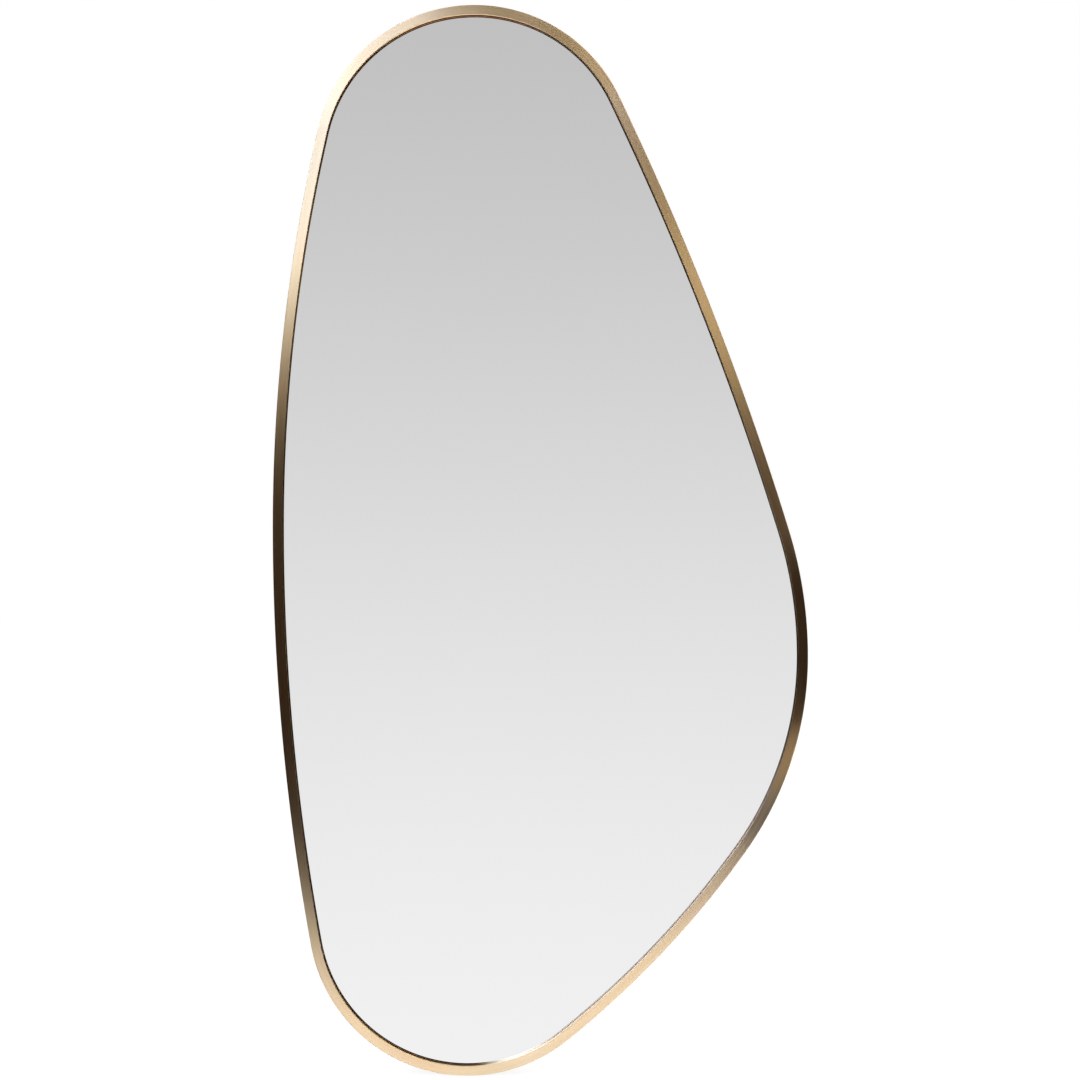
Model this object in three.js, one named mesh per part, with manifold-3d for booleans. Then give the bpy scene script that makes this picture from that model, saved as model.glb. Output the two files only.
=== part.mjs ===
// Irregular shaped wall mirror: a pebble outline in a slim brushed brass frame.
//
// Millimetres, +Z up, +X to the right as seen from the front. The glass faces -Y and the wall is
// at +Y. The origin is the middle of the mirror's box.
//
// The outline is a closed chain of circular arcs, each tangent to the next. The frame's hooked
// section turns about the centre of each arc in its own stretch, so one section runs round the
// whole outline, and everything inside the frame follows the same arcs, moved in by a clearance.

import * as THREE from 'three';
import { mergeVertices } from 'three/addons/utils/BufferGeometryUtils.js';
import Module from 'manifold-3d';

const wasm = await Module();
wasm.setup();

// ---------------------------------------------------------------- driving dimensions

// outline, seen from the front
const OVERALL_WIDTH = 600;
const OVERALL_HEIGHT = 1200;
const LEFT_REACH_HEIGHT = 615; // the point furthest left, above the lowest point
const RIGHT_REACH_HEIGHT = 470; // the point furthest right, above the lowest point
const TOP_RADIUS = 180;
const TOP_SETBACK = 46; // the left reach of the top curve, in from the furthest left
const BOTTOM_RADIUS = 178;
const BOTTOM_SETBACK = 40; // the left reach of the bottom curve, in from the furthest left
const RIGHT_UPPER_RADIUS = 480;
const RIGHT_LOWER_RADIUS = 378;
const UPPER_SIDE_RADIUS = 3500; // the long, nearly straight side, top right
const LOWER_SIDE_RADIUS = 1060; // the side that runs down to the bottom curve
const CHORD_ERROR = 0.2; // how far a flat facet may cut inside its arc

// frame section
const FACE_WIDTH = 11.2;
const METAL = 1.5;
const OUTER_EDGE_RADIUS = 0.6;
const INNER_EDGE_RADIUS = 1.8;
const GLASS_RECESS = 4; // from the frame's face back to the glass
const RIB_REACH = 3;
const RIB_THICKNESS = 1.5;

// glass, tape, board and packers
const SEAT_GAP = 0.3; // between faces that rest on each other
const GLASS_THICKNESS = 4;
const GLASS_ARRIS = 0.5; // ground edge
const GLASS_EDGE_ROOM = 0.6; // between the ribs and the glass as it drops in
const TAPE_THICKNESS = 1;
const TAPE_WIDTH = 25;
const TAPE_COUNT = 5;
const TAPE_END_ROOM = 40; // from the end of a tape to the glass edge
const BOARD_THICKNESS = 8;
const BOARD_EDGE_ROOM = 1;
const PACKER_LENGTH = 40;
const PACKER_COUNT = 6;

// screws
const SHANK_RADIUS = 1.75;
const SHANK_ROOM = 0.3;
const SCREW_TIP_LENGTH = 2.4;
const HEAD_RADIUS = 3.5;
const HEAD_RIM = 0.9;
const HEAD_HEIGHT = 2.1;
const HEAD_CROWN_RADIUS = 2.3;
const BOARD_BITE = 6.4; // how deep each screw goes into the board
const PILOT_ROOM = 0.5; // hole left beyond the screw's tip

// retaining clips
const CLIP_COUNT = 10;
const CLIP_WIDTH = 22;
const CLIP_LENGTH = 34;
const CLIP_THICKNESS = 1.2;
const CLIP_TIP_ROOM = 0.5; // between the clip's tip and the frame's wall
const CLIP_SLOT_ROOM = 0.3;
const CLIP_SCREW_FROM_TIP = 20;
const CLIP_CORNER_CUT = 2;

// hangers
const HANGER_SPACING = 220;
const HANGER_HEIGHT = 900; // ring pivots, above the lowest point
const STRAP_WIDTH = 14;
const STRAP_THICKNESS = 1.2;
const STRAP_LENGTH = 38; // from the ring's pivot to the strap's round end
const STRAP_FIRST_SCREW = 10; // below the pivot
const STRAP_SCREW_PITCH = 20;
const STRAP_ROLL_ANGLE = 300; // degrees of curl round the ring's bar
const RING_WIRE_RADIUS = 1.5;
const RING_PIVOT_ROOM = 0.3;
const RING_INNER_WIDTH = 26;
const RING_LEG = 4;
const RING_CORNER_RADIUS = 3;
const RING_BUTT_GAP = 0.6; // where the ends of the bent wire meet, inside the strap
const HANGER_ROOM = 0.8; // between the strap's roll and the frame's back edge

// wall bumpers
const BUMPER_FROM_END = 170; // centre, from the top or the bottom of the mirror
const BUMPER_FROM_SIDE = 32; // centre, in from the board's edge at that height
const BUMPER_BASE_RADIUS = 9;
const BUMPER_FACE_RADIUS = 7.5;
const BUMPER_FLOOR = 3; // rubber under the screw head
const BUMPER_HEAD_ROOM = 0.5;
const WALL_CLEARANCE = 1; // how far the bumpers stand behind the frame

// ---------------------------------------------------------------- depths, front to back

const pivotHoleRadius = RING_WIRE_RADIUS + RING_PIVOT_ROOM;
const rearRecess = SEAT_GAP + 2 * STRAP_THICKNESS + 2 * pivotHoleRadius + HANGER_ROOM;
const glassSeat = GLASS_RECESS + SEAT_GAP;
const stackDepth = glassSeat + GLASS_THICKNESS + SEAT_GAP + TAPE_THICKNESS + SEAT_GAP
  + BOARD_THICKNESS;
const frameDepth = stackDepth + rearRecess;

const frontY = -(frameDepth + WALL_CLEARANCE) / 2;
const frameBackY = frontY + frameDepth;
const wallY = frameBackY + WALL_CLEARANCE;
const glassFrontY = frontY + glassSeat;
const glassBackY = glassFrontY + GLASS_THICKNESS;
const tapeFrontY = glassBackY + SEAT_GAP;
const tapeBackY = tapeFrontY + TAPE_THICKNESS;
const boardFrontY = tapeBackY + SEAT_GAP;
const boardBackY = boardFrontY + BOARD_THICKNESS;
const onBoardY = boardBackY + SEAT_GAP; // the front of whatever is screwed to the board
const clipBackY = onBoardY + CLIP_THICKNESS;

// insets from the outline
const ribInset = METAL + RIB_REACH;
const glassInset = ribInset + GLASS_EDGE_ROOM;
const boardInset = ribInset + BOARD_EDGE_ROOM;

// ---------------------------------------------------------------- materials

const paint = (color, metalness, roughness) =>
  new THREE.MeshStandardMaterial({ color, metalness, roughness });

const brushedBrass = () => paint(0xc9a676, 1, 0.32);
const silveredGlass = () => paint(0xe3e6e6, 1, 0.03);
const fibreboard = () => paint(0x6b4f35, 0, 0.85);
const foamTape = () => paint(0xe9e7e0, 0, 0.9);
const packerRubber = () => paint(0x3a3a3a, 0, 0.75);
const zincSteel = () => paint(0xb9bcc0, 1, 0.38);
const screwSteel = () => paint(0xa9abad, 1, 0.3);
const bumperRubber = () => paint(0x1e1e1f, 0, 0.7);

// ---------------------------------------------------------------- solids

// A closed solid for joining and cutting: only positions, with shared corners merged.
function toSolid(geometry) {
  const bare = geometry.clone();
  bare.deleteAttribute('normal');
  bare.deleteAttribute('uv');
  const merged = mergeVertices(bare, 1e-3);
  return new wasm.Manifold(new wasm.Mesh({
    numProp: 3,
    vertProperties: new Float32Array(merged.attributes.position.array),
    triVerts: new Uint32Array(merged.index.array),
  }));
}

function fromSolid(solid) {
  const mesh = solid.getMesh();
  const geometry = new THREE.BufferGeometry();
  geometry.setAttribute('position', new THREE.BufferAttribute(mesh.vertProperties, 3));
  geometry.setIndex(new THREE.BufferAttribute(mesh.triVerts, 1));
  geometry.computeVertexNormals();
  return geometry;
}

// A flat plate: a shape drawn in X and Z, from one depth to another.
function plate(shape, fromY, toY, curveSegments = 6) {
  return new THREE.ExtrudeGeometry(shape, {
    depth: toY - fromY, bevelEnabled: false, curveSegments,
  }).rotateX(Math.PI / 2).translate(0, toY, 0);
}

function mesh(name, geometry, material) {
  const result = new THREE.Mesh(geometry, material);
  result.name = name;
  return result;
}

// ---------------------------------------------------------------- outline

// The centre of a large circle that two smaller ones touch from inside, right of the way from
// the first to the second.
function sideCentre(first, second, radius) {
  const apart = new THREE.Vector2().subVectors(second.centre, first.centre);
  const fromFirst = radius - first.radius;
  const fromSecond = radius - second.radius;
  const distance = apart.length();
  const ahead = (fromFirst ** 2 - fromSecond ** 2 + distance ** 2) / (2 * distance);
  const aside = Math.sqrt(fromFirst ** 2 - ahead ** 2);
  const way = apart.divideScalar(distance);
  return first.centre.clone().addScaledVector(way, ahead)
    .add(new THREE.Vector2(way.y, -way.x).multiplyScalar(aside));
}

// The circle that touches the furthest left line at a given height and goes round an end curve.
function leftCircle(end, reach) {
  const aside = reach.x - end.centre.x;
  const up = reach.y - end.centre.y;
  const radius = (end.radius ** 2 - aside ** 2 - up ** 2) / (2 * (aside + end.radius));
  return { centre: new THREE.Vector2(reach.x + radius, reach.y), radius };
}

// Where two circles touch, one inside the other.
function touchPoint(one, other) {
  const [large, small] = one.radius > other.radius ? [one, other] : [other, one];
  const way = new THREE.Vector2().subVectors(small.centre, large.centre).normalize();
  return large.centre.clone().addScaledVector(way, large.radius);
}

// The outline's arcs, clockwise from the highest point.
function outlineArcs() {
  const left = -OVERALL_WIDTH / 2;
  const right = OVERALL_WIDTH / 2;
  const top = OVERALL_HEIGHT / 2;
  const bottom = -OVERALL_HEIGHT / 2;
  const leftReach = new THREE.Vector2(left, bottom + LEFT_REACH_HEIGHT);
  const rightReach = new THREE.Vector2(right, bottom + RIGHT_REACH_HEIGHT);
  const circle = (x, z, radius) => ({ centre: new THREE.Vector2(x, z), radius });

  const topEnd = circle(left + TOP_SETBACK + TOP_RADIUS, top - TOP_RADIUS, TOP_RADIUS);
  const bottomEnd = circle(
    left + BOTTOM_SETBACK + BOTTOM_RADIUS, bottom + BOTTOM_RADIUS, BOTTOM_RADIUS);
  const rightUpper = circle(right - RIGHT_UPPER_RADIUS, rightReach.y, RIGHT_UPPER_RADIUS);
  const rightLower = circle(right - RIGHT_LOWER_RADIUS, rightReach.y, RIGHT_LOWER_RADIUS);
  const upperSide = {
    centre: sideCentre(topEnd, rightUpper, UPPER_SIDE_RADIUS), radius: UPPER_SIDE_RADIUS };
  const lowerSide = {
    centre: sideCentre(rightLower, bottomEnd, LOWER_SIDE_RADIUS), radius: LOWER_SIDE_RADIUS };
  const leftLower = leftCircle(bottomEnd, leftReach);
  const leftUpper = leftCircle(topEnd, leftReach);

  const highest = new THREE.Vector2(topEnd.centre.x, top);
  const lowest = new THREE.Vector2(bottomEnd.centre.x, bottom);
  const chain = [
    [topEnd, touchPoint(topEnd, upperSide)],
    [upperSide, touchPoint(upperSide, rightUpper)],
    [rightUpper, rightReach],
    [rightLower, touchPoint(rightLower, lowerSide)],
    [lowerSide, touchPoint(lowerSide, bottomEnd)],
    [bottomEnd, lowest],
    [bottomEnd, touchPoint(bottomEnd, leftLower)],
    [leftLower, leftReach],
    [leftUpper, touchPoint(leftUpper, topEnd)],
    [topEnd, highest],
  ];

  // Angles turn from +Z towards +X, which is clockwise from the front.
  const bearing = (point, centre) => Math.atan2(point.x - centre.x, point.y - centre.y);
  let start = highest;
  return chain.map(([{ centre, radius }, end]) => {
    const from = bearing(start, centre);
    const sweep = THREE.MathUtils.euclideanModulo(bearing(end, centre) - from, 2 * Math.PI);
    const steps = Math.ceil(sweep / (2 * Math.acos(1 - CHORD_ERROR / radius)));
    start = end;
    return { centre, radius, from, sweep, steps, length: radius * sweep };
  });
}

const arcs = outlineArcs();
const perimeter = arcs.reduce((total, arc) => total + arc.length, 0);

function onArc(arc, angle, inset) {
  const reach = arc.radius - inset;
  return new THREE.Vector2(
    arc.centre.x + reach * Math.sin(angle), arc.centre.y + reach * Math.cos(angle));
}

// Places round the outline, close enough together to follow every arc.
function outlineStations() {
  return arcs.flatMap((arc) => Array.from({ length: arc.steps }, (_, i) =>
    ({ arc, angle: arc.from + (arc.sweep * i) / arc.steps })));
}

// The whole outline, moved in by an inset, as a shape in X and Z.
function outlineShape(inset) {
  const points = outlineStations().map(({ arc, angle }) => onArc(arc, angle, inset));
  return new THREE.Shape(points.reverse());
}

// A place on the outline, so far along it clockwise from the highest point.
function along(distance) {
  let left = THREE.MathUtils.euclideanModulo(distance, perimeter);
  const arc = arcs.find((each) => {
    const here = left <= each.length;
    if (!here) left -= each.length;
    return here;
  }) ?? arcs[0];
  return { arc, angle: arc.from + left / arc.radius };
}

// How far the outline, moved in by an inset, reaches left and right at a height.
function spanAt(height, inset) {
  const points = outlineShape(inset).getPoints();
  const crossings = points.flatMap((a, i) => {
    const b = points[(i + 1) % points.length];
    const crosses = (a.y - height) * (b.y - height) < 0;
    return crosses ? [a.x + ((height - a.y) * (b.x - a.x)) / (b.y - a.y)] : [];
  });
  return [Math.min(...crossings), Math.max(...crossings)];
}

// The upright line through the middle of the glass's area, where its weight hangs.
function balanceLine() {
  const points = outlineShape(glassInset).getPoints();
  let area = 0;
  let moment = 0;
  points.forEach((a, i) => {
    const b = points[(i + 1) % points.length];
    const cross = a.x * b.y - b.x * a.y;
    area += cross / 2;
    moment += ((a.x + b.x) * cross) / 6;
  });
  return moment / area;
}

const balanceX = balanceLine();

// ---------------------------------------------------------------- frame

// The section of the frame: how far in from the outline, and how far back from the front. A face,
// a short lip down to the glass, a side wall, and two ribs that hold the retaining clips.
function frameSection() {
  const back = frameDepth;
  const slotFront = onBoardY - CLIP_SLOT_ROOM - frontY;
  const slotBack = clipBackY + CLIP_SLOT_ROOM - frontY;
  const lip = FACE_WIDTH - METAL;
  const section = new THREE.Path();
  section.moveTo(0, back);
  section.lineTo(0, OUTER_EDGE_RADIUS);
  section.absarc(OUTER_EDGE_RADIUS, OUTER_EDGE_RADIUS, OUTER_EDGE_RADIUS,
    Math.PI, 1.5 * Math.PI, false);
  section.absarc(FACE_WIDTH - INNER_EDGE_RADIUS, INNER_EDGE_RADIUS, INNER_EDGE_RADIUS,
    1.5 * Math.PI, 2 * Math.PI, false);
  section.lineTo(FACE_WIDTH, GLASS_RECESS);
  section.lineTo(lip, GLASS_RECESS);
  section.lineTo(lip, METAL);
  section.lineTo(METAL, METAL);
  for (const [ribFront, ribBack] of [
    [slotFront - RIB_THICKNESS, slotFront], [slotBack, slotBack + RIB_THICKNESS]]) {
    section.lineTo(METAL, ribFront);
    section.lineTo(ribInset, ribFront);
    section.lineTo(ribInset, ribBack);
    section.lineTo(METAL, ribBack);
  }
  section.lineTo(METAL, back);
  return section.getPoints(2);
}

// One closed ring: the section turned about each arc's centre in its own stretch. The last station
// joins the first, as the welded and dressed seam of the real one.
function frameRing() {
  const section = frameSection();
  const stations = outlineStations();
  const positions = stations.flatMap(({ arc, angle }) => section.flatMap(({ x, y }) => {
    const { x: side, y: up } = onArc(arc, angle, x);
    return [side, frontY + y, up];
  }));
  const corner = (station, point) =>
    (station % stations.length) * section.length + (point % section.length);
  const faces = stations.flatMap((_, i) => section.flatMap((__, k) => [
    corner(i, k), corner(i, k + 1), corner(i + 1, k + 1),
    corner(i, k), corner(i + 1, k + 1), corner(i + 1, k),
  ]));
  const ring = new THREE.BufferGeometry();
  ring.setAttribute('position', new THREE.Float32BufferAttribute(positions, 3));
  ring.setIndex(faces);
  ring.computeVertexNormals();
  return ring;
}

// ---------------------------------------------------------------- glass, tape, board, packers

function glassPane() {
  return new THREE.ExtrudeGeometry(outlineShape(glassInset), {
    depth: GLASS_THICKNESS - 2 * GLASS_ARRIS,
    bevelThickness: GLASS_ARRIS,
    bevelSize: GLASS_ARRIS,
    bevelOffset: -GLASS_ARRIS,
    bevelSegments: 1,
  }).rotateX(Math.PI / 2).translate(0, glassBackY - GLASS_ARRIS, 0);
}

// A strip of mounting tape across the back of the glass, cut to the width there.
function tapeStrip(height) {
  const edges = [height - TAPE_WIDTH / 2, height + TAPE_WIDTH / 2]
    .map((edge) => spanAt(edge, glassInset));
  const left = Math.max(...edges.map(([from]) => from)) + TAPE_END_ROOM;
  const right = Math.min(...edges.map(([, to]) => to)) - TAPE_END_ROOM;
  return new THREE.BoxGeometry(right - left, TAPE_THICKNESS, TAPE_WIDTH)
    .translate((left + right) / 2, (tapeFrontY + tapeBackY) / 2, height);
}

// A rubber packer bent to the outline, between the frame's wall and the edge of the glass.
function edgePacker(middle) {
  const stops = [-1, -0.5, 0, 0.5, 1].map((t) => along(middle + (t * PACKER_LENGTH) / 2));
  const side = (inset) => stops.map(({ arc, angle }) => onArc(arc, angle, inset));
  const ring = [...side(METAL + SEAT_GAP), ...side(glassInset - SEAT_GAP).reverse()];
  return plate(new THREE.Shape(ring.reverse()), glassFrontY, glassBackY);
}

// The backing board, with a blind pilot hole for each screw.
function backingBoard(screwPlaces) {
  const holeRadius = SHANK_RADIUS + SHANK_ROOM;
  const depth = BOARD_BITE + PILOT_ROOM;
  let board = toSolid(plate(outlineShape(boardInset), boardFrontY, boardBackY));
  for (const { x, z } of screwPlaces) {
    const drill = new THREE.CylinderGeometry(holeRadius, holeRadius, 2 * depth, 10)
      .translate(x, boardBackY, z);
    board = board.subtract(toSolid(drill));
  }
  return fromSolid(board);
}

// ---------------------------------------------------------------- screws

// A pan head screw along Y with its head at the back, through a thickness and into the board.
function screwGeometry(through) {
  const length = through + SEAT_GAP + BOARD_BITE + SEAT_GAP;
  const profile = [
    [0, -length],
    [SHANK_RADIUS * 0.25, -length],
    [SHANK_RADIUS, SCREW_TIP_LENGTH - length],
    [SHANK_RADIUS, 0],
    [HEAD_RADIUS, 0],
    [HEAD_RADIUS, HEAD_RIM],
    [HEAD_CROWN_RADIUS, HEAD_HEIGHT],
    [0, HEAD_HEIGHT],
  ].map(([radius, y]) => new THREE.Vector2(radius, y));
  return new THREE.LatheGeometry(profile, 10);
}

function screw(name, x, z, through) {
  const result = mesh(name, screwGeometry(through), screwSteel());
  result.position.set(x, onBoardY + through + SEAT_GAP, z);
  return result;
}

// ---------------------------------------------------------------- retaining clips

// A flat spring steel clip: its square tip goes into the slot between the frame's ribs.
function clipGeometry() {
  const half = CLIP_WIDTH / 2;
  const shape = new THREE.Shape();
  shape.moveTo(CLIP_CORNER_CUT - half, 0);
  shape.lineTo(half - CLIP_CORNER_CUT, 0);
  shape.lineTo(half, -CLIP_CORNER_CUT);
  shape.absarc(0, half - CLIP_LENGTH, half, 0, -Math.PI, true);
  shape.lineTo(-half, -CLIP_CORNER_CUT);
  const hole = new THREE.Path();
  hole.absarc(0, -CLIP_SCREW_FROM_TIP, SHANK_RADIUS + SHANK_ROOM, 0, 2 * Math.PI, false);
  shape.holes.push(hole);
  return plate(shape, onBoardY, clipBackY, 5);
}

// Clips stand square to the outline at equal distances, with a screw through each.
function clipPlaces() {
  const tipSag = CLIP_WIDTH ** 2 / (8 * Math.min(TOP_RADIUS, BOTTOM_RADIUS));
  const tipInset = METAL + CLIP_TIP_ROOM + tipSag;
  return Array.from({ length: CLIP_COUNT }, (_, i) => {
    const { arc, angle } = along(((i + 0.5) * perimeter) / CLIP_COUNT);
    return {
      tip: onArc(arc, angle, tipInset),
      hole: onArc(arc, angle, tipInset + CLIP_SCREW_FROM_TIP),
      angle,
    };
  });
}

function retainingClip(name, { tip, angle }) {
  const clip = mesh(name, clipGeometry(), zincSteel());
  clip.position.set(tip.x, 0, tip.y);
  clip.rotation.y = angle;
  return clip;
}

// ---------------------------------------------------------------- hangers

const pivotY = onBoardY + STRAP_THICKNESS + pivotHoleRadius;
const pivotZ = HANGER_HEIGHT - OVERALL_HEIGHT / 2;
const strapScrewDrops = [STRAP_FIRST_SCREW, STRAP_FIRST_SCREW + STRAP_SCREW_PITCH];

// A strap of sheet steel, rolled at its top round the ring's bar, with a round lower end.
function hangerStrap() {
  const start = -Math.PI / 2;
  const end = start + THREE.MathUtils.degToRad(STRAP_ROLL_ANGLE);
  const outer = pivotHoleRadius + STRAP_THICKNESS;
  const centre = pivotY - onBoardY;
  const side = new THREE.Shape();
  side.moveTo(-STRAP_LENGTH, 0);
  side.lineTo(0, 0);
  side.absarc(0, centre, outer, start, end, false);
  side.absarc(0, centre, pivotHoleRadius, end, start, true);
  side.lineTo(-STRAP_LENGTH, STRAP_THICKNESS);
  const rolled = new THREE.ExtrudeGeometry(side, {
    depth: STRAP_WIDTH, bevelEnabled: false, curveSegments: 9,
  }).rotateY(-Math.PI / 2).translate(STRAP_WIDTH / 2, onBoardY, 0);

  const half = STRAP_WIDTH / 2;
  const plan = new THREE.Shape();
  plan.moveTo(half, 2 * outer);
  plan.lineTo(-half, 2 * outer);
  plan.absarc(0, half - STRAP_LENGTH, half, Math.PI, 2 * Math.PI, false);
  let strap = toSolid(rolled).intersect(toSolid(plate(plan, boardFrontY, wallY)));

  const holeRadius = SHANK_RADIUS + SHANK_ROOM;
  for (const drop of strapScrewDrops) {
    const drill = new THREE.CylinderGeometry(holeRadius, holeRadius, 2 * outer, 10)
      .translate(0, onBoardY, -drop);
    strap = strap.subtract(toSolid(drill));
  }
  return fromSolid(strap);
}

// A bend of wire in the X and Z plane.
class Bend extends THREE.Curve {
  constructor(x, z, radius, from, to) {
    super();
    Object.assign(this, { x, z, radius, from, to });
  }

  getPoint(t, target = new THREE.Vector3()) {
    const angle = THREE.MathUtils.lerp(this.from, this.to, t);
    return target.set(
      this.x + this.radius * Math.cos(angle), 0, this.z + this.radius * Math.sin(angle));
  }
}

// A D-shaped ring of bent wire, hanging from its bar. The bar lies in the strap's roll, and the
// ends of the wire meet there.
function hangerRing() {
  const half = RING_INNER_WIDTH / 2 + RING_WIRE_RADIUS;
  const corner = RING_CORNER_RADIUS;
  const legEnd = -corner - RING_LEG;
  const butt = RING_BUTT_GAP / 2;
  const line = (x0, z0, x1, z1) =>
    new THREE.LineCurve3(new THREE.Vector3(x0, 0, z0), new THREE.Vector3(x1, 0, z1));
  const wire = new THREE.CurvePath();
  wire.add(line(butt, 0, half - corner, 0));
  wire.add(new Bend(half - corner, -corner, corner, Math.PI / 2, 0));
  wire.add(line(half, -corner, half, legEnd));
  wire.add(new Bend(0, legEnd, half, 0, -Math.PI));
  wire.add(line(-half, legEnd, -half, -corner));
  wire.add(new Bend(corner - half, -corner, corner, Math.PI, Math.PI / 2));
  wire.add(line(corner - half, 0, -butt, 0));
  const round = new THREE.Shape().absarc(0, 0, RING_WIRE_RADIUS, 0, 2 * Math.PI, false);
  return new THREE.ExtrudeGeometry(round, {
    steps: 42, extrudePath: wire, curveSegments: 4, bevelEnabled: false,
  });
}

function hanger(side, x) {
  const group = new THREE.Group();
  const strap = mesh(`${side}_hanger_strap`, hangerStrap(), zincSteel());
  strap.position.set(x, 0, pivotZ);
  const ring = mesh(`${side}_d_ring`, hangerRing(), zincSteel());
  ring.position.set(x, pivotY, pivotZ);
  group.add(strap, ring);
  strapScrewDrops.forEach((drop, i) => {
    const name = `${side}_hanger_screw_${['upper', 'lower'][i]}`;
    group.add(screw(name, x, pivotZ - drop, STRAP_THICKNESS));
  });
  return group;
}

// ---------------------------------------------------------------- wall bumpers

// A tapered rubber foot on the board, with a well for its screw.
function bumperGeometry() {
  const well = HEAD_RADIUS + BUMPER_HEAD_ROOM;
  const hole = SHANK_RADIUS + SHANK_ROOM;
  const height = wallY - onBoardY;
  const profile = [
    [hole, 0],
    [BUMPER_BASE_RADIUS, 0],
    [BUMPER_FACE_RADIUS, height],
    [well, height],
    [well, BUMPER_FLOOR],
    [hole, BUMPER_FLOOR],
    [hole, 0],
  ].map(([radius, y]) => new THREE.Vector2(radius, y));
  return new THREE.LatheGeometry(profile, 12);
}

function bumper(name, x, z) {
  const group = new THREE.Group();
  const foot = mesh(`wall_bumper_${name}`, bumperGeometry(), bumperRubber());
  foot.position.set(x, onBoardY, z);
  group.add(foot, screw(`bumper_screw_${name}`, x, z, BUMPER_FLOOR));
  return group;
}

// ---------------------------------------------------------------- assembly

const hangers = { left: balanceX - HANGER_SPACING / 2, right: balanceX + HANGER_SPACING / 2 };
const bumperZ = OVERALL_HEIGHT / 2 - BUMPER_FROM_END;
const bumpers = [['upper', bumperZ], ['lower', -bumperZ]].flatMap(([end, z]) => {
  const [left, right] = spanAt(z, boardInset);
  return [
    [`${end}_left`, left + BUMPER_FROM_SIDE, z],
    [`${end}_right`, right - BUMPER_FROM_SIDE, z],
  ];
});
const clips = clipPlaces();
const screwPlaces = [
  ...clips.map(({ hole }) => ({ x: hole.x, z: hole.y })),
  ...Object.values(hangers).flatMap((x) => strapScrewDrops.map((drop) => ({ x, z: pivotZ - drop }))),
  ...bumpers.map(([, x, z]) => ({ x, z })),
];

const mirror = new THREE.Group();
mirror.add(mesh('frame_profile', frameRing(), brushedBrass()));
mirror.add(mesh('mirror_glass', glassPane(), silveredGlass()));
mirror.add(mesh('backing_board', backingBoard(screwPlaces), fibreboard()));

for (let i = 0; i < TAPE_COUNT; i += 1) {
  const height = OVERALL_HEIGHT / 2 - ((i + 1) * OVERALL_HEIGHT) / (TAPE_COUNT + 1);
  mirror.add(mesh(`mounting_tape_${i + 1}`, tapeStrip(height), foamTape()));
}
for (let i = 0; i < PACKER_COUNT; i += 1) {
  const packer = edgePacker((i * perimeter) / PACKER_COUNT);
  mirror.add(mesh(`glass_packer_${i + 1}`, packer, packerRubber()));
}
clips.forEach((place, i) => {
  mirror.add(retainingClip(`retaining_clip_${i + 1}`, place));
  mirror.add(screw(`clip_screw_${i + 1}`, place.hole.x, place.hole.y, CLIP_THICKNESS));
});
for (const [side, x] of Object.entries(hangers)) {
  mirror.add(hanger(side, x));
}
for (const [name, x, z] of bumpers) {
  mirror.add(bumper(name, x, z));
}

export default mirror;
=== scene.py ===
"""Irregular shaped wall mirror: a pebble outline in a slim brushed brass frame.

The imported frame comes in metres, +Z up, with the glass facing -Y and the wall at +Y. The pieces
below are shaped in millimetres from the same dimensions and made metres when they are finished.
"""
import math
from functools import cache

import bmesh
import bpy
from mathutils import Matrix, Vector


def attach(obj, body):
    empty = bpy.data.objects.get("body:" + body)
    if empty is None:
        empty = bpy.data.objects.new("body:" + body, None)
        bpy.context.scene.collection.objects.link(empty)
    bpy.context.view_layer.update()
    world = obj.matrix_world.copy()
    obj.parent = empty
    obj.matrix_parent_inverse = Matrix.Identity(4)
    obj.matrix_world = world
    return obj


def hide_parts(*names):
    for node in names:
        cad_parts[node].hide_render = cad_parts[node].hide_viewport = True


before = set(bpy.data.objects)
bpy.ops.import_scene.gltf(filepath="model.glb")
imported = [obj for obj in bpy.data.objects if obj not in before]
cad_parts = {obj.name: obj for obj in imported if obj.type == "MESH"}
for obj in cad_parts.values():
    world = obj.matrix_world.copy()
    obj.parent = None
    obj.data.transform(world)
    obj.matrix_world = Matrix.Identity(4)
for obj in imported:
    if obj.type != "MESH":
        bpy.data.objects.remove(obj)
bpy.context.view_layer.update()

# ---------------------------------------------------------------- dimensions, in millimetres

MM = 0.001

# outline, seen from the front
WIDTH, HEIGHT = 600.0, 1200.0
LEFT_REACH_Z, RIGHT_REACH_Z = 15.0, -130.0
TOP_RADIUS, TOP_SETBACK = 180.0, 46.0
BOTTOM_RADIUS, BOTTOM_SETBACK = 178.0, 40.0
RIGHT_UPPER_RADIUS, RIGHT_LOWER_RADIUS = 480.0, 378.0
UPPER_SIDE_RADIUS, LOWER_SIDE_RADIUS = 3500.0, 1060.0
CHORD_ERROR = 0.02
RING_CLOSING = 0.03  # the end of a run round the outline meets its start within this
MERGE_WITHIN = 1e-4

# frame section
FACE_WIDTH = 11.2
METAL = 1.5
OUTER_EDGE_RADIUS, INNER_EDGE_RADIUS = 0.6, 0.8
SMALL_EDGE_RADIUS = 0.2
GLASS_RECESS = 4.0
RIB_REACH, RIB_THICKNESS = 3.0, 1.5

# depths, front to back
FRONT_Y, FRAME_BACK_Y, WALL_Y = -13.0, 12.0, 13.0
GLASS_FRONT_Y, GLASS_BACK_Y = -8.7, -4.7
ON_BOARD_Y = 5.2
CLIP_THICKNESS = 1.2
CLIP_SLOT_ROOM = 0.3
SEAT_GAP = 0.3

# insets from the outline
RIB_INSET = METAL + RIB_REACH
GLASS_INSET = RIB_INSET + 0.6
GLASS_ARRIS = 0.5

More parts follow.
